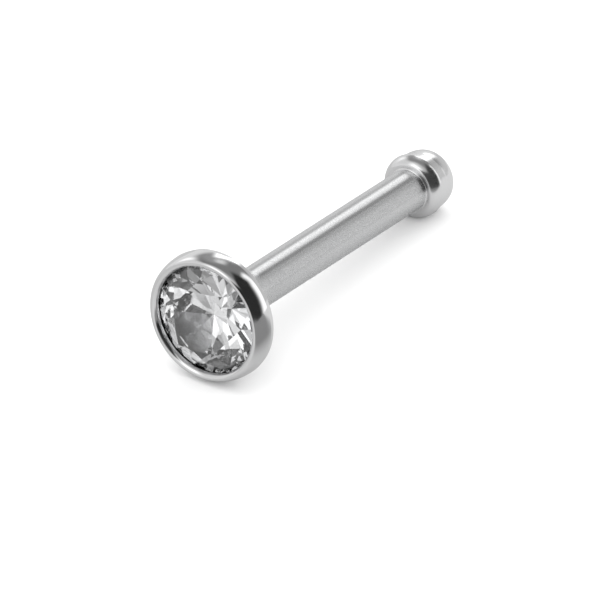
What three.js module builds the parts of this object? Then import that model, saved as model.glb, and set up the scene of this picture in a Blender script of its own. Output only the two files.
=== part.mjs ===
// Straight nose stud, lying as it rests on a table.
// One turned and soldered metal solid (bezel cup, post, bone end) holds one round brilliant.
// Every length is in millimetres. A profile point is [radius, station]; the station runs
// along the post from the frontmost ring of the bezel lip (0) to the end of the bone.
import * as THREE from 'three';

// Bezel cup
const HEAD_R = 1.54;          // widest radius of the cup wall
const HEAD_R_AT = 0.48;       // station of that widest ring
const LIP_ROUND_R = 1.405;    // radius of the frontmost ring of the lip
const LIP_OPEN_R = 1.285;     // narrowest opening, just in front of the girdle
const LIP_OPEN_AT = 0.13;     // station of that opening
const WALL_BACK_R = 1.52;     // radius where the wall turns to the back of the rim
const WALL_BACK_AT = 0.57;    // station where it turns
const RIM_EDGE = 0.06;        // radius of the rounded back edge
const SEAT_INNER_R = 1.24;    // inner radius of the flat ring that faces the skin
const CONE_END_R = 0.64;      // radius where the cone meets the flare of the post
const CONE_END_AT = 1.46;     // station where it meets
const FLARE_END_AT = 1.95;    // station where the flare has run out into the post

// Post and bone end
const POST_R = 0.50;
const BONE_FRONT_AT = 8.22;   // station of the face that stops the stud pulling out
const BONE_LENGTH = 0.96;
const BONE_R = 0.765;         // widest radius, behind the rounding of that face
const BONE_BACK_R = 0.72;     // radius where the rounding of the far end begins
const BONE_FRONT_DEEP = 0.20; // rounding of the face: how far it takes the radius in
const BONE_FRONT_LONG = 0.30; // and how far it reaches along the post
const BONE_BACK_DEEP = 0.14;  // the same at the far end
const BONE_BACK_LONG = 0.42;
const BONE_FILLET = 0.04;     // solder fillet between post and bone

// Round brilliant
const STONE_R = 1.31;
const STONE_MOUNT_GAP = 0.03; // clearance between stone and metal
const GIRDLE_AT = 0.212;      // station of the front edge of the girdle
const GIRDLE_THICK = 0.06;
const TABLE_R = 0.787;        // radius to the corners of the table
const CROWN_HEIGHT = 0.28;
const PAVILION_DEPTH = 1.117;
const STAR_SHARE = 0.511;     // how far the star facets reach from table to girdle
const LOWER_SHARE = 0.47;     // how far the lower girdle facets reach to the culet
const MAINS = 8;              // main facets on the crown, and again on the pavilion
const STONE_TURN = 0.267;     // turn of the stone in its seat, radians

const SIDES = 48;             // sides of every turned surface
const ARC_STEPS = 5;          // straight pieces in each rounded edge

// Points on an elliptical arc about [cr, cs] from angle a0 to a1 (angle 0 points outwards).
function arc(cr, cs, halfR, halfS, a0, a1, steps = ARC_STEPS) {
  return Array.from({ length: steps + 1 }, (_, i) => {
    const a = a0 + (a1 - a0) * i / steps;
    return [cr + halfR * Math.cos(a), cs + halfS * Math.sin(a)];
  });
}

// The pocket under the stone, from its bottom on the axis up to the girdle channel.
function pocketProfile() {
  const channelR = STONE_R + STONE_MOUNT_GAP;
  const girdleBack = GIRDLE_AT + GIRDLE_THICK;
  const bottomAt = girdleBack + PAVILION_DEPTH + STONE_MOUNT_GAP;
  const bottomR = 0.12;
  return [
    [0, bottomAt],
    [bottomR, bottomAt],
    [channelR, girdleBack + STONE_MOUNT_GAP],
    [channelR, GIRDLE_AT],
  ];
}

// Lip, wall and back of the cup, and the flare that runs out into the post.
function cupProfile() {
  const lipInner = arc(LIP_ROUND_R, LIP_OPEN_AT, LIP_ROUND_R - LIP_OPEN_R, LIP_OPEN_AT,
    Math.PI, 1.5 * Math.PI);
  const lipOuter = arc(LIP_ROUND_R, HEAD_R_AT, HEAD_R - LIP_ROUND_R, HEAD_R_AT,
    -Math.PI / 2, 0, 2 * ARC_STEPS);
  const backEdge = arc(WALL_BACK_R - RIM_EDGE, WALL_BACK_AT, RIM_EDGE, RIM_EDGE, 0, Math.PI / 2);
  const flare = Array.from({ length: ARC_STEPS + 1 }, (_, i) => {
    const share = i / ARC_STEPS;
    const radius = POST_R + (CONE_END_R - POST_R) * (1 - share) ** 2;
    return [radius, CONE_END_AT + (FLARE_END_AT - CONE_END_AT) * share];
  });
  return [
    ...lipInner,
    ...lipOuter.slice(1),
    ...backEdge,
    [SEAT_INNER_R, WALL_BACK_AT + RIM_EDGE],
    ...flare,
  ];
}

// Fillet, front face, tapering side and flat end of the bone.
function boneProfile() {
  const end = BONE_FRONT_AT + BONE_LENGTH;
  const fillet = arc(POST_R + BONE_FILLET, BONE_FRONT_AT - BONE_FILLET,
    BONE_FILLET, BONE_FILLET, Math.PI, Math.PI / 2);
  const frontEdge = arc(BONE_R - BONE_FRONT_DEEP, BONE_FRONT_AT + BONE_FRONT_LONG,
    BONE_FRONT_DEEP, BONE_FRONT_LONG, -Math.PI / 2, 0);
  const backEdge = arc(BONE_BACK_R - BONE_BACK_DEEP, end - BONE_BACK_LONG,
    BONE_BACK_DEEP, BONE_BACK_LONG, 0, Math.PI / 2);
  return [...fillet, ...frontEdge, ...backEdge, [0, end]];
}

// Rise of a main facet's plane above the girdle edge, at radius r and at an angle away from
// the middle of the facet. The plane meets the girdle edge at radius STONE_R in its middle.
const mainRise = (r, away, slope) => (STONE_R - r * Math.cos(away)) * slope;

// One half of the stone (crown or pavilion) as a list of flat, convex facets.
// base is the station of its girdle edge, side is -1 for the crown and +1 for the pavilion.
function halfStone(base, side, slope, tipR, midR) {
  const step = 2 * Math.PI / MAINS;
  const ringPerMain = SIDES / MAINS;
  const at = (r, angle, rise) => new THREE.Vector3(
    r * Math.sin(angle), base + side * rise, r * Math.cos(angle));
  const facets = [];
  const tips = [];
  for (let k = 0; k < MAINS; k += 1) {
    const angle = STONE_TURN + k * step;
    const tip = at(tipR, angle, mainRise(tipR, 0, slope));
    const midRise = mainRise(midR, step / 2, slope);
    const before = at(midR, angle - step / 2, midRise);
    const after = at(midR, angle + step / 2, midRise);
    const foot = at(STONE_R, angle, 0);
    tips.push(tip);
    facets.push([tip, before, foot, after]);
    if (tipR > 0) {
      facets.push([tip, after, at(tipR, angle + step, mainRise(tipR, 0, slope))]);
    }
    // Two girdle facets: each is the plane through the mid point and a sixteenth of the girdle.
    for (const half of [0, 1]) {
      const a0 = angle + half * step / 2;
      const a1 = a0 + step / 2;
      const p0 = at(STONE_R, a0, 0);
      const p1 = at(STONE_R, a1, 0);
      const plane = new THREE.Plane().setFromCoplanarPoints(after, p0, p1);
      const ring = [];
      for (let i = 0; i <= ringPerMain / 2; i += 1) {
        const a = a0 + (a1 - a0) * i / (ringPerMain / 2);
        const p = at(STONE_R, a, 0);
        p.y = -(plane.normal.x * p.x + plane.normal.z * p.z + plane.constant) / plane.normal.y;
        ring.push(p);
      }
      facets.push([after, ...ring]);
    }
  }
  if (tipR > 0) {
    facets.push(tips);
  }
  return facets;
}

// The scalloped girdle edge of a half stone, as the points its girdle facets share with it.
function girdleRing(facets) {
  const ring = [];
  for (const facet of facets) {
    if (facet.length === SIDES / MAINS / 2 + 2) {
      ring.push(...facet.slice(1, -1));
    }
  }
  return ring;
}

function stoneGeometry() {
  const crownSlope = CROWN_HEIGHT / (STONE_R - TABLE_R);
  const pavilionSlope = PAVILION_DEPTH / STONE_R;
  const tableFlat = TABLE_R * Math.cos(Math.PI / MAINS);
  const starR = tableFlat + STAR_SHARE * (STONE_R - tableFlat);
  const crown = halfStone(GIRDLE_AT, -1, crownSlope, TABLE_R, starR);
  const pavilion = halfStone(GIRDLE_AT + GIRDLE_THICK, 1, pavilionSlope, 0,
    (1 - LOWER_SHARE) * STONE_R);
  const front = girdleRing(crown);
  const back = girdleRing(pavilion);
  const band = front.map((p, i) => {
    const n = (i + 1) % front.length;
    return [p, front[n], back[n], back[i]];
  });
  const centre = new THREE.Vector3(0, GIRDLE_AT, 0);
  const positions = [];
  for (const facet of [...crown, ...pavilion, ...band]) {
    const middle = facet.reduce((s, p) => s.add(p), new THREE.Vector3()).divideScalar(facet.length);
    for (let i = 1; i < facet.length - 1; i += 1) {
      const [a, b, c] = [facet[0], facet[i], facet[i + 1]];
      const normal = b.clone().sub(a).cross(c.clone().sub(a));
      const outward = normal.dot(middle.clone().sub(centre)) > 0;
      for (const p of outward ? [a, b, c] : [a, c, b]) {
        positions.push(p.x, p.y, p.z);
      }
    }
  }
  const geometry = new THREE.BufferGeometry();
  geometry.setAttribute('position', new THREE.Float32BufferAttribute(positions, 3));
  geometry.computeVertexNormals();
  return geometry;
}

function metalGeometry() {
  const profile = [...pocketProfile(), ...cupProfile(), ...boneProfile()];
  const points = profile.map(([r, s]) => new THREE.Vector2(r, s));
  return new THREE.LatheGeometry(points, SIDES);
}

// The stud lies on the widest ring of the cup and on the ring of the bone that meets the table
// first as the post dips.
const REST_TILT = Math.min(...boneProfile().map(
  ([r, s]) => Math.atan2(HEAD_R - r, s - HEAD_R_AT)));

const steel = new THREE.MeshStandardMaterial({ color: 0xc9cacb, roughness: 0.18, metalness: 1.0 });
const crystal = new THREE.MeshStandardMaterial({ color: 0xeef2f4, roughness: 0.03, metalness: 0.0 });

const body = new THREE.Mesh(metalGeometry(), steel);
body.name = 'bezel_post_body';
const stone = new THREE.Mesh(stoneGeometry(), crystal);
stone.name = 'brilliant_stone';

// The post runs along +Y and dips to the bone; the origin is under the middle of the box.
const lying = new THREE.Group();
lying.add(body, stone);
lying.rotation.x = -REST_TILT;
const box = new THREE.Box3().setFromObject(lying, true);
const middle = box.getCenter(new THREE.Vector3());
lying.position.set(-middle.x, -middle.y, -box.min.z);

const stud = new THREE.Group();
stud.name = 'nose_stud';
stud.add(lying);

export default stud;
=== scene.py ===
"""Nose stud: a bezel-set round brilliant on a satin post with a polished bone end.

The metal is one surface turned about the post and the stone is a cut brilliant. Lengths are
worked out in millimetres along the stud's own axis (radius, station) and laid down in metres.
"""

import math

import bpy
import numpy as np
from mathutils import Matrix


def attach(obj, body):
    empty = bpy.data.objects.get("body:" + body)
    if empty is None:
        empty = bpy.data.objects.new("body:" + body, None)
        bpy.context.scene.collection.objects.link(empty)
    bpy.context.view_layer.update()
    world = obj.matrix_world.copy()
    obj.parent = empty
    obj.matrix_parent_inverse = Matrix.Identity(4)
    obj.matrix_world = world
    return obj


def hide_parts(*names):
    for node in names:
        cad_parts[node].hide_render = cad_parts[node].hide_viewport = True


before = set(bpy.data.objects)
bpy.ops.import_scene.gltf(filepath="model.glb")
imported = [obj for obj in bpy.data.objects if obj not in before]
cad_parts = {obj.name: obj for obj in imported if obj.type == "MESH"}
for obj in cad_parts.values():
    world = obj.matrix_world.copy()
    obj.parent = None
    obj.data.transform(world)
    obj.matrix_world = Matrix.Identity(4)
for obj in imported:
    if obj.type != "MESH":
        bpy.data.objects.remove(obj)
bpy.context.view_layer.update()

MM = 0.001
WITHIN = 0.9998  # keeps the fine curves just inside the box of the coarser solids

# Bezel cup: radius and station of each turn of its outline, in millimetres
HEAD_R, HEAD_R_AT = 1.54, 0.48
LIP_ROUND_R = 1.405
LIP_OPEN_R, LIP_OPEN_AT = 1.285, 0.13
WALL_BACK_R, WALL_BACK_AT = 1.52, 0.57
RIM_EDGE = 0.06
SEAT_INNER_R = 1.24
CONE_END_R, CONE_END_AT = 0.64, 1.46
FLARE_END_AT = 1.95

# Post and bone end
POST_R = 0.50
BONE_FRONT_AT, BONE_LENGTH = 8.22, 0.96
BONE_R, BONE_BACK_R = 0.765, 0.72
BONE_FRONT_DEEP, BONE_FRONT_LONG = 0.20, 0.30
BONE_BACK_DEEP, BONE_BACK_LONG = 0.14, 0.42
BONE_FILLET = 0.04

# Round brilliant
STONE_R = 1.31
STONE_GAP = 0.03
GIRDLE_AT, GIRDLE_THICK = 0.212, 0.06
TABLE_R, CROWN_HEIGHT, PAVILION_DEPTH = 0.787, 0.28, 1.117
STAR_SHARE, LOWER_SHARE = 0.511, 0.47
MAINS = 8
STONE_TURN = 0.267

TURN_SIDES = 240
POCKET_POINTS = 3
ARC_POINTS = 16


def arc(centre, half, start, stop, points=ARC_POINTS):
    """Points on an ellipse: the centre plus half-widths times cosine and sine of the angle."""
    a = np.linspace(start, stop, points)
    return np.stack([centre[0] + half[0] * np.cos(a), centre[1] + half[1] * np.sin(a)], 1)


def cup_profile():
    """Pocket, lip, wall, back and flare of the cup, as radius and station.

    The lip and wall are quarter ellipses; the flare's radius falls with the square of the
    share still to go, so it runs out smoothly into the post.
    """
    channel = STONE_R + STONE_GAP
    girdle_back = GIRDLE_AT + GIRDLE_THICK
    pocket = np.array([
        [0.0, girdle_back + PAVILION_DEPTH + STONE_GAP],
        [0.12, girdle_back + PAVILION_DEPTH + STONE_GAP],
        [channel, girdle_back + STONE_GAP],
        [channel, GIRDLE_AT],
    ])
    lip_inner = arc((LIP_ROUND_R, LIP_OPEN_AT), (LIP_ROUND_R - LIP_OPEN_R, LIP_OPEN_AT),
                    math.pi, 1.5 * math.pi)
    lip_outer = arc((LIP_ROUND_R, HEAD_R_AT), (HEAD_R - LIP_ROUND_R, HEAD_R_AT),
                    -math.pi / 2, 0, 3 * ARC_POINTS)[1:]
    back = arc((WALL_BACK_R - RIM_EDGE, WALL_BACK_AT), (RIM_EDGE, RIM_EDGE), 0, math.pi / 2)
    seat = np.array([[SEAT_INNER_R, WALL_BACK_AT + RIM_EDGE]])
    share = np.linspace(0, 1, 24)
    flare = np.stack([POST_R + (CONE_END_R - POST_R) * (1 - share) ** 2,
                      CONE_END_AT + (FLARE_END_AT - CONE_END_AT) * share], 1)
    return np.concatenate([pocket, lip_inner, lip_outer, back, seat, flare])


def bone_profile():
    """Fillet, front face, tapering side and flat end of the bone, as radius and station."""
    end = BONE_FRONT_AT + BONE_LENGTH
    fillet = arc((POST_R + BONE_FILLET, BONE_FRONT_AT - BONE_FILLET), (BONE_FILLET, BONE_FILLET),
                 math.pi, math.pi / 2)
    front = arc((BONE_R - BONE_FRONT_DEEP, BONE_FRONT_AT + BONE_FRONT_LONG),
                (BONE_FRONT_DEEP, BONE_FRONT_LONG), -math.pi / 2, 0, 2 * ARC_POINTS)
    back = arc((BONE_BACK_R - BONE_BACK_DEEP, end - BONE_BACK_LONG),
               (BONE_BACK_DEEP, BONE_BACK_LONG), 0, math.pi / 2, 2 * ARC_POINTS)
    return np.concatenate([fillet, front, back, [[0.0, end]]])


def post_profile(points=60):
    """The straight post: one radius from the end of the flare to the start of the fillet."""
    stations = np.linspace(FLARE_END_AT, BONE_FRONT_AT - BONE_FILLET, points)[1:-1]
    return np.stack([np.full(len(stations), POST_R), stations], 1)


CUP = cup_profile()
BONE = bone_profile()
bone_rings = BONE[BONE[:, 0] > 0]
REST_TILT = float(np.arctan2(HEAD_R - bone_rings[:, 0], bone_rings[:, 1] - HEAD_R_AT).min())
AXIS = np.array([0.0, math.cos(REST_TILT), -math.sin(REST_TILT)])
UPRIGHT = np.array([0.0, math.sin(REST_TILT), math.cos(REST_TILT)])
ACROSS = np.array([1.0, 0.0, 0.0])


def lying_origin():
    """Where station 0 of the axis lies: the stud touches z = 0 and its box is centred on y."""
    rings = np.concatenate([CUP, BONE])
    low = (rings[:, 1] * AXIS[2] - rings[:, 0] * UPRIGHT[2]).min()
    corners = STONE_TURN + 2 * math.pi / MAINS * np.arange(MAINS)
    table = (GIRDLE_AT - CROWN_HEIGHT) * AXIS[1] + TABLE_R * np.cos(corners) * UPRIGHT[1]
    front = min(table.min(), (rings[:, 1] * AXIS[1] - rings[:, 0] * UPRIGHT[1]).min())
    back = (rings[:, 1] * AXIS[1] + rings[:, 0] * UPRIGHT[1]).max()
    return np.array([0.0, -(front + back) / 2, -low])


ORIGIN = lying_origin()


def laid(radius, angle, station):
    """Metres in the row frame for arrays of radius, angle from the top and station."""
    radial = np.cos(angle)[..., None] * UPRIGHT + np.sin(angle)[..., None] * ACROSS
    return (ORIGIN + radius[..., None] * radial + station[..., None] * AXIS) * (MM * WITHIN)


def new_piece(name, points, faces, smooth=True, sharp_angle=None):
    """A mesh object from whole arrays, with its place in its mesh."""
    mesh = bpy.data.meshes.new(name)
    mesh.from_pydata(points.tolist(), [], faces)
    mesh.polygons.foreach_set("use_smooth", np.full(len(mesh.polygons), smooth))
    if sharp_angle is not None:
        mesh.set_sharp_from_angle(angle=math.radians(sharp_angle))
    mesh.update()
    mesh.validate()
    piece = bpy.data.objects.new(name, mesh)
    bpy.context.scene.collection.objects.link(piece)
    return piece


def turned_metal():
    """One closed skin: every profile point carried round the axis, with a pole at each end.

    Point (i, j) is the i-th profile radius and station at the j-th of equal angles; a face
    joins neighbours in both, and the first and last profile points are single pole points.
    """
    profile = np.concatenate([CUP, post_profile(), BONE])
    ring = profile[1:-1]
    angle = np.linspace(0, 2 * math.pi, TURN_SIDES, endpoint=False)
    radius = np.repeat(ring[:, :1], TURN_SIDES, 1)
    station = np.repeat(ring[:, 1:], TURN_SIDES, 1)
    grid = laid(radius, np.broadcast_to(angle, radius.shape), station).reshape(-1, 3)
    ends = laid(profile[[0, -1], 0], np.zeros(2), profile[[0, -1], 1])
    points = np.concatenate([grid, ends])
    i, j = np.meshgrid(np.arange(len(ring) - 1), np.arange(TURN_SIDES), indexing="ij")
    here = (i * TURN_SIDES + j).ravel()
    beside = (i * TURN_SIDES + (j + 1) % TURN_SIDES).ravel()
    quads = np.stack([here, beside, beside + TURN_SIDES, here + TURN_SIDES], 1)
    step = np.arange(TURN_SIDES)
    after = (step + 1) % TURN_SIDES
    last = (len(ring) - 1) * TURN_SIDES
    first_cap = np.stack([after, step, np.full(TURN_SIDES, len(grid))], 1)
    last_cap = np.stack([last + step, last + after, np.full(TURN_SIDES, len(grid) + 1)], 1)
    faces = quads.tolist() + first_cap.tolist() + last_cap.tolist()
    piece = new_piece("stud_metal", points, faces, sharp_angle=40)
    in_pocket = np.zeros(len(points), np.float32)
    in_pocket[:POCKET_POINTS * TURN_SIDES] = 1.0
    in_pocket[len(grid)] = 1.0
    piece.data.attributes.new("pocket", "FLOAT", "POINT").data.foreach_set("value", in_pocket)
    return piece


def cut_brilliant(ring_points=96):
    """The stone: flat facets between a table, a scalloped girdle and a culet.

    A main facet's rise above the girdle is the slope times what its radius, measured along
    the facet's own direction, still lacks to the girdle. A girdle facet is the plane through
    a middle point and its sixteenth of the girdle, so its edge dips by
    slope * R / (R - r) * (tan(1/32 turn) * sin(d) - 1 + cos(d)) at d from the middle.
    """
    step = 2 * math.pi / MAINS
    half = step / 2
    main_angle = STONE_TURN + step * np.arange(MAINS)
    mid_angle = main_angle + half
    girdle_angle = STONE_TURN + 2 * math.pi * np.arange(ring_points) / ring_points
    from_mid = np.abs((girdle_angle - STONE_TURN) % step - half)
    table_flat = TABLE_R * math.cos(half)
    star_r = table_flat + STAR_SHARE * (STONE_R - table_flat)
    lower_r = (1 - LOWER_SHARE) * STONE_R
    crown_slope = CROWN_HEIGHT / (STONE_R - TABLE_R)
    pavilion_slope = PAVILION_DEPTH / STONE_R

    def mid_rise(radius, slope):
        return (STONE_R - radius * math.cos(half)) * slope

    def dip(radius, slope):
        lean = mid_rise(radius, slope) * STONE_R / (STONE_R - radius)
        return lean * (math.tan(half / 2) * np.sin(from_mid) - 1 + np.cos(from_mid))

    def ring_at(radius, angle, station):
        return laid(np.full(len(angle), radius), angle, np.broadcast_to(station, angle.shape))

    girdle_back = GIRDLE_AT + GIRDLE_THICK
    rings = [
        ring_at(TABLE_R, main_angle, GIRDLE_AT - CROWN_HEIGHT),
        ring_at(star_r, mid_angle, GIRDLE_AT - mid_rise(star_r, crown_slope)),
        ring_at(STONE_R, girdle_angle, GIRDLE_AT + dip(star_r, crown_slope)),
        ring_at(STONE_R, girdle_angle, girdle_back - dip(lower_r, pavilion_slope)),
        ring_at(lower_r, mid_angle, girdle_back + mid_rise(lower_r, pavilion_slope)),
        laid(np.zeros(1), np.zeros(1), np.array([girdle_back + PAVILION_DEPTH])),
    ]
    start = np.cumsum([0] + [len(r) for r in rings])
    table, star, front, back, lower, culet = start[:6]
    k = np.arange(MAINS)
    after = (k + 1) % MAINS
    before = (k - 1) % MAINS
    per_main = ring_points // MAINS
    foot = k * per_main
    sweep = np.arange(per_main // 2 + 1)
    sector = np.concatenate([foot, foot + per_main // 2])[:, None] + sweep
    sector %= ring_points
    owner = np.concatenate([k, k])
    g = np.arange(ring_points)
    g_after = (g + 1) % ring_points
    faces = [(table + k[::-1]).tolist()]
    faces += np.stack([table + after, star + k, table + k], 1).tolist()
    faces += np.stack([star + k, front + foot, star + before, table + k], 1).tolist()
    faces += np.concatenate([(star + owner)[:, None], front + sector[:, ::-1]], 1).tolist()
    faces += np.stack([front + g_after, back + g_after, back + g, front + g], 1).tolist()
    faces += np.concatenate([(lower + owner)[:, None], back + sector], 1).tolist()
    faces += np.stack([lower + before, back + foot, lower + k, np.full(MAINS, culet)], 1).tolist()
    return new_piece("cut_stone", np.concatenate(rings), faces, smooth=False)


metal = turned_metal()
stone = cut_brilliant()


class Graph:
    """Short names for placing and joining nodes in one node tree."""

    def __init__(self, tree):
        self.tree = tree
        self.nodes = tree.nodes
        self.nodes.clear()

    def add(self, kind, **settings):
        node = self.nodes.new(kind)
        for key, value in settings.items():
            setattr(node, key, value)
        return node

    def join(self, source, target):
        self.tree.links.new(source, target)

    def put(self, socket, value):
        if isinstance(value, bpy.types.NodeSocket):
            self.join(value, socket)
        else:
            socket.default_value = value

    def math(self, operation, a, b=0.0, c=0.0, clamp=False):
        node = self.add("ShaderNodeMath", operation=operation, use_clamp=clamp)
        for socket, value in zip(node.inputs, (a, b, c)):
            self.put(socket, value)
        return node.outputs[0]

    def dot(self, vector, direction):
        node = self.add("ShaderNodeVectorMath", operation="DOT_PRODUCT")
        self.join(vector, node.inputs[0])
        node.inputs[1].default_value = tuple(direction)
        return node.outputs["Value"]

    def ramp(self, value, low, high, to_low=0.0, to_high=1.0, smooth=True):
        node = self.add("ShaderNodeMapRange",
                        interpolation_type="SMOOTHSTEP" if smooth else "LINEAR")
        self.put(node.inputs["Value"], value)
        for name, number in (("From Min", low), ("From Max", high),
                             ("To Min", to_low), ("To Max", to_high)):
            self.put(node.inputs[name], number)
        return node.outputs["Result"]

    def mix(self, share, a, b):
        node = self.add("ShaderNodeMix", data_type="FLOAT")
        self.put(node.inputs[0], share)
        self.put(node.inputs[2], a)
        self.put(node.inputs[3], b)
        return node.outputs[0]

    def noise(self, vector, scale, detail=2.0, roughness=0.5):
        node = self.add("ShaderNodeTexNoise")
        self.join(vector, node.inputs["Vector"])
        node.inputs["Scale"].default_value = scale
        node.inputs["Detail"].default_value = detail
        node.inputs["Roughness"].default_value = roughness
        return node.outputs["Fac"]


def metal_finish():
    """Steel: mirror polish on cup and bone, a fine lengthwise satin grain on the post, and painted
    shade in the pocket round the stone.
    """
    material = bpy.data.materials.new("polished_steel")
    material.use_nodes = True
    g = Graph(material.node_tree)
    place = g.add("ShaderNodeTexCoord").outputs["Object"]
    station = g.math("MULTIPLY", g.dot(place, AXIS), 1 / MM)
    start = float(ORIGIN @ AXIS)
    post_from = g.ramp(station, start + WALL_BACK_AT + 0.2, start + CONE_END_AT - 0.2)
    post_to = g.ramp(station, start + BONE_FRONT_AT - 0.03, start + BONE_FRONT_AT, 1.0, 0.0)
    satin = g.math("MULTIPLY", post_from, post_to)
    cloud = g.noise(place, 900.0, 3.0)
    fine = g.noise(place, 30000.0, 2.0)
    soft_bone = g.ramp(station, start + BONE_FRONT_AT - 0.1, start + BONE_FRONT_AT, 0.0, 0.08)
    smears = g.math("ADD", g.ramp(cloud, 0.35, 0.75, 0.08, 0.15), soft_bone)
    grain = g.ramp(fine, 0.2, 0.8, 0.24, 0.32)
    pocket = g.add("ShaderNodeAttribute", attribute_name="pocket").outputs["Fac"]
    rough = g.mix(pocket, g.mix(satin, smears, grain), 0.26)
    # Painted shade in the pocket: its colour is near black just behind the girdle and pales to
    # bright steel deeper in, standing in for the shade round the stone.
    pocket_painted_shade = g.add("ShaderNodeMix", data_type="RGBA")
    g.join(g.ramp(station, start + GIRDLE_AT + 0.1, start + 1.1), pocket_painted_shade.inputs["Factor"])
    pocket_painted_shade.inputs[6].default_value = (0.10, 0.10, 0.10, 1)
    pocket_painted_shade.inputs[7].default_value = (0.96, 0.96, 0.96, 1)
    tone = g.add("ShaderNodeMix", data_type="RGBA")
    g.join(g.mix(satin, g.ramp(cloud, 0.3, 0.8, 0.0, 0.3), g.ramp(fine, 0.2, 0.8, 0.6, 1.0)),
           tone.inputs["Factor"])
    tone.inputs[6].default_value = (0.80, 0.80, 0.805, 1)
    tone.inputs[7].default_value = (0.66, 0.665, 0.67, 1)
    height = g.mix(satin, g.math("MULTIPLY", cloud, 0.5), g.math("MULTIPLY", fine, 0.08))
    bump = g.add("ShaderNodeBump")
    bump.inputs["Strength"].default_value = 0.12
    bump.inputs["Distance"].default_value = 0.00001
    g.join(height, bump.inputs["Height"])
    shader = g.add("ShaderNodeBsdfPrincipled")
    shader.inputs["Metallic"].default_value = 1.0
    shown = g.add("ShaderNodeMix", data_type="RGBA")
    g.join(pocket, shown.inputs["Factor"])
    g.join(tone.outputs[2], shown.inputs[6])
    g.join(pocket_painted_shade.outputs[2], shown.inputs[7])
    g.join(shown.outputs[2], shader.inputs["Base Color"])
    g.join(rough, shader.inputs["Roughness"])
    g.join(bump.outputs["Normal"], shader.inputs["Normal"])
    g.join(g.math("MULTIPLY", satin, 0.85), shader.inputs["Anisotropic"])
    along = g.add("ShaderNodeCombineXYZ")
    for socket, value in zip(along.inputs, AXIS):
        socket.default_value = float(value)
    g.join(along.outputs[0], shader.inputs["Tangent"])
    out = g.add("ShaderNodeOutputMaterial")
    g.join(shader.outputs[0], out.inputs["Surface"])
    return material


def stone_finish():
    """Clear stone with the faintest uneven polish."""
    material = bpy.data.materials.new("clear_brilliant")
    material.use_nodes = True
    g = Graph(material.node_tree)
    place = g.add("ShaderNodeTexCoord").outputs["Object"]
    shader = g.add("ShaderNodeBsdfPrincipled")
    shader.inputs["Base Color"].default_value = (0.985, 0.99, 1.0, 1)
    shader.inputs["Transmission Weight"].default_value = 1.0
    shader.inputs["IOR"].default_value = 2.15
    g.join(g.ramp(g.noise(place, 2500.0, 2.0), 0.3, 0.8, 0.0, 0.02), shader.inputs["Roughness"])
    out = g.add("ShaderNodeOutputMaterial")
    g.join(shader.outputs[0], out.inputs["Surface"])
    return material


metal.data.materials.append(metal_finish())
stone.data.materials.append(stone_finish())
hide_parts("bezel_post_body")
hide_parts("brilliant_stone")
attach(metal, "root")
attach(stone, "root")


def aim(azimuth, elevation):
    """Unit vector towards a compass angle from -Y turning to +X, and an angle above level."""
    a, e = math.radians(azimuth), math.radians(elevation)
    return np.array([math.sin(a) * math.cos(e), -math.cos(a) * math.cos(e), math.sin(e)])


def floor_sheet(size=0.6):
    """A flat pale sheet under the stud, seen white from above; in reflections its colour is painted
    shade: grey, near black to the right of the cup and a little darker towards the left.
    """
    corners = np.array([[-1, -1, 0], [1, -1, 0], [1, 1, 0], [-1, 1, 0]]) * (size, size, 1.0)
    sheet = new_piece("floor_sheet", corners, [[0, 1, 2, 3]], smooth=False)
    material = bpy.data.materials.new("pale_sheet")
    material.use_nodes = True
    g = Graph(material.node_tree)
    seen = g.add("ShaderNodeBsdfDiffuse")
    seen.inputs["Color"].default_value = (0.97, 0.97, 0.97, 1)
    shaded_in_reflections = g.add("ShaderNodeBsdfDiffuse")
    place = g.add("ShaderNodeTexCoord").outputs["Object"]
    # Painted shade for reflections only: a patch that falls to 0.20 off to the right of the cup, and
    # a grey of 0.46 to 0.56 that darkens towards the left.
    shade_patch_right = g.ramp(g.dot(place, ACROSS), 0.0012, 0.0040)
    shade_patch_front = g.ramp(g.dot(place, (0.7, -1.0, 0.0)), 0.0025, 0.0050)
    left_shade_grey = g.ramp(g.dot(place, ACROSS), -0.0025, -0.0005, 0.46, 0.56)
    shade = g.mix(g.math("MULTIPLY", shade_patch_right, shade_patch_front), left_shade_grey, 0.20)
    grey = g.add("ShaderNodeCombineColor")
    for channel in grey.inputs:
        g.put(channel, shade)
    g.join(grey.outputs[0], shaded_in_reflections.inputs["Color"])
    path = g.add("ShaderNodeLightPath")
    mix = g.add("ShaderNodeMixShader")
    g.join(path.outputs["Is Camera Ray"], mix.inputs[0])
    g.join(shaded_in_reflections.outputs[0], mix.inputs[1])
    g.join(seen.outputs[0], mix.inputs[2])
    out = g.add("ShaderNodeOutputMaterial")
    g.join(mix.outputs[0], out.inputs["Surface"])
    sheet.data.materials.append(material)
    return sheet


# Cards round the stud: azimuth, elevation, half width, half height, roll, soft edge (degrees), level
STUDIO_CARDS = [
    (-82, 4, 82, 38, 0, 14, 0.82),
    (-100, 30, 18, 12, 0, 8, 1.4),
    (-40, 55, 50, 30, 0, 14, 0.75),
    (-15, 45, 17, 20, 0, 7, 1.4),
    (172, 8, 26, 18, 0, 8, 0.62),
    (-172, 59, 42, 29, 0, 8, 0.22),
    (-140, 42, 9, 17, 0, 8, 0.34),
    (-160, 29, 11, 8, 0, 5, 2.3),
    (-155, 48, 6, 6, 0, 5, 0.8),
    (139, 16, 7, 34, -25, 4, 1.3),
    (72, 30, 55, 29, 0, 7, 0.02),
    (124, 53, 20, 15, 0, 6, 0.02),
]
STUDIO_BASE = 0.46
STUDIO_DIFFUSE = 1.45


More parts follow.
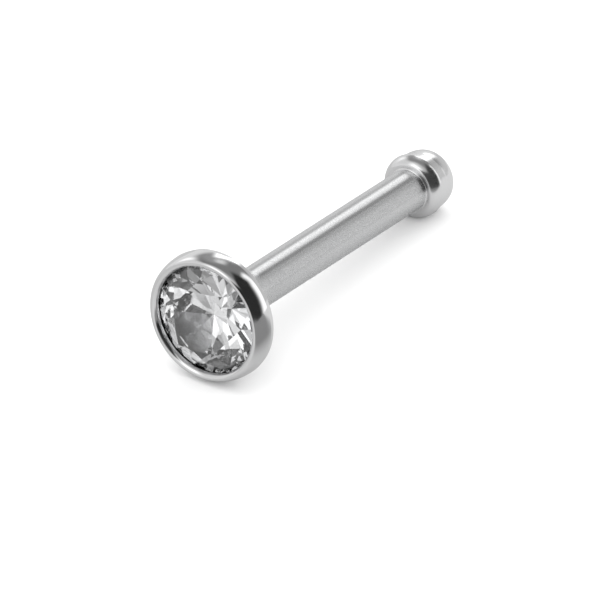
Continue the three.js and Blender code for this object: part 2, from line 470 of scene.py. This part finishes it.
def studio_world():
    """Soft cards on an even grey: each card covers what lies behind it on the sky.

    A direction's offset from a card's centre is its dot product with the card's own sideways
    and upward directions, turned to degrees.
    """
    world = bpy.data.worlds.new("studio")
    bpy.context.scene.world = world
    world.use_nodes = True
    g = Graph(world.node_tree)
    ray = g.add("ShaderNodeTexCoord").outputs["Generated"]
    level = STUDIO_BASE
    for azimuth, elevation, half_w, half_h, roll, soft, bright in STUDIO_CARDS:
        centre = aim(azimuth, elevation)
        side = aim(azimuth + 90, 0)
        up = np.cross(side, centre)
        up = up if up[2] > 0 else -up
        lean = math.radians(roll)
        side, up = (math.cos(lean) * side + math.sin(lean) * up,
                    math.cos(lean) * up - math.sin(lean) * side)
        facing = g.dot(ray, centre)
        across = g.math("ABSOLUTE", g.math("ARCTAN2", g.dot(ray, side), facing))
        above = g.math("ABSOLUTE", g.math("ARCSINE", g.dot(ray, up)))
        mask = g.math("MULTIPLY",
                      g.ramp(across, math.radians(half_w - soft), math.radians(half_w + soft), 1, 0),
                      g.ramp(above, math.radians(half_h - soft), math.radians(half_h + soft), 1, 0))
        level = g.mix(mask, level, bright)
    background = g.add("ShaderNodeBackground")
    background.inputs["Color"].default_value = (1, 1, 1, 1)
    g.put(background.inputs["Strength"], level)
    plain = g.add("ShaderNodeBackground")
    plain.inputs["Color"].default_value = (1, 1, 1, 1)
    plain.inputs["Strength"].default_value = STUDIO_DIFFUSE
    path = g.add("ShaderNodeLightPath")
    sharp_ray = g.math("MAXIMUM", path.outputs["Is Glossy Ray"], path.outputs["Is Transmission Ray"])
    mix = g.add("ShaderNodeMixShader")
    g.join(sharp_ray, mix.inputs[0])
    g.join(plain.outputs[0], mix.inputs[1])
    g.join(background.outputs[0], mix.inputs[2])
    out = g.add("ShaderNodeOutputWorld")
    g.join(mix.outputs[0], out.inputs["Surface"])


floor_sheet()
studio_world()

# Camera: a long lens from the front right and above, rolled a little
CAMERA_AZIMUTH, CAMERA_ELEVATION, CAMERA_ROLL = 34.85, 32.48, -0.7
LENS = 720.0
SENSOR = 36.0
DISTANCE = 0.2679
FRAME_CENTRE_RIGHT, FRAME_CENTRE_UP = 2.176, 0.487


def place_camera():
    """Looks back along the view direction at a point beside the front of the stud's axis."""
    back = aim(CAMERA_AZIMUTH, CAMERA_ELEVATION)
    right = aim(CAMERA_AZIMUTH + 90, 0)
    up = np.cross(back, right)
    up = up if up[2] > 0 else -up
    roll = math.radians(CAMERA_ROLL)
    right, up = (math.cos(roll) * right + math.sin(roll) * up,
                 math.cos(roll) * up - math.sin(roll) * right)
    target = (ORIGIN + FRAME_CENTRE_RIGHT * right + FRAME_CENTRE_UP * up) * MM
    data = bpy.data.cameras.new("camera")
    data.lens, data.sensor_width = LENS, SENSOR
    data.clip_start, data.clip_end = 0.01, 10.0
    camera = bpy.data.objects.new("camera", data)
    matrix = np.eye(4)
    matrix[:3, 0], matrix[:3, 1], matrix[:3, 2] = right, up, back
    matrix[:3, 3] = target + back * DISTANCE
    camera.matrix_world = Matrix(matrix.tolist())
    bpy.context.scene.collection.objects.link(camera)
    bpy.context.scene.camera = camera


place_camera()
bpy.context.scene.view_settings.view_transform = "Standard"
bpy.context.scene.cycles.max_bounces = 24
bpy.context.scene.cycles.transmission_bounces = 20
bpy.context.scene.cycles.glossy_bounces = 12

bpy.context.view_layer.update()
